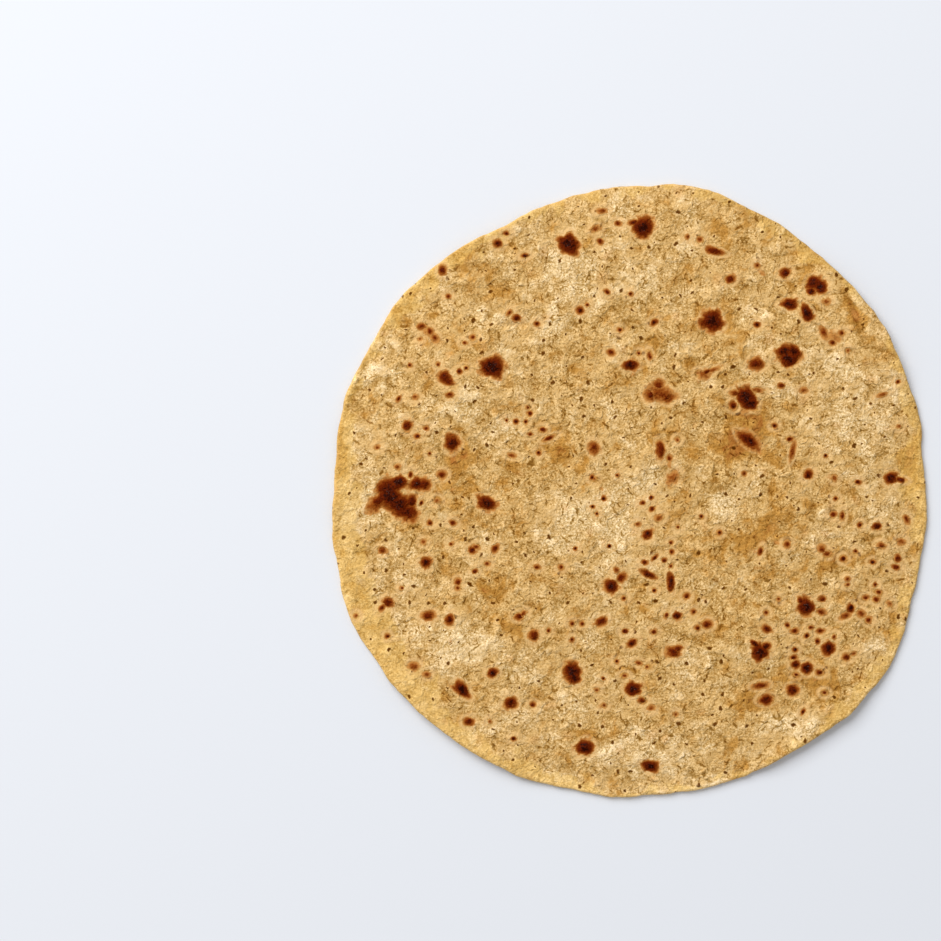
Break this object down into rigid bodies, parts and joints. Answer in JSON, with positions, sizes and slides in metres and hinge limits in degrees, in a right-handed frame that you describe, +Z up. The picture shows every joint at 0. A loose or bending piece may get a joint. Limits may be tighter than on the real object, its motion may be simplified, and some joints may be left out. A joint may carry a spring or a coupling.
{
  "type": "chapati flatbread",
  "caption": "Thin round griddle-baked wheat flatbread with an uneven hand-rolled outline, low blisters, burn spots and a softly curled rim.",
  "frame": {"origin": "middle of the outline's box, on the surface that the bread lies on", "axes": "+Z up through the thickness of the bread, with the browned side that shows facing up; the blunt corner of the outline is towards +X and -Y"},
  "size_m": [0.177, 0.1824, 0.0042],
  "materials": {
    "baked_dough": "matt, floury"
  },
  "bodies": {
    "root": {"chapati": "baked_dough"}
  },
  "joints": []
}
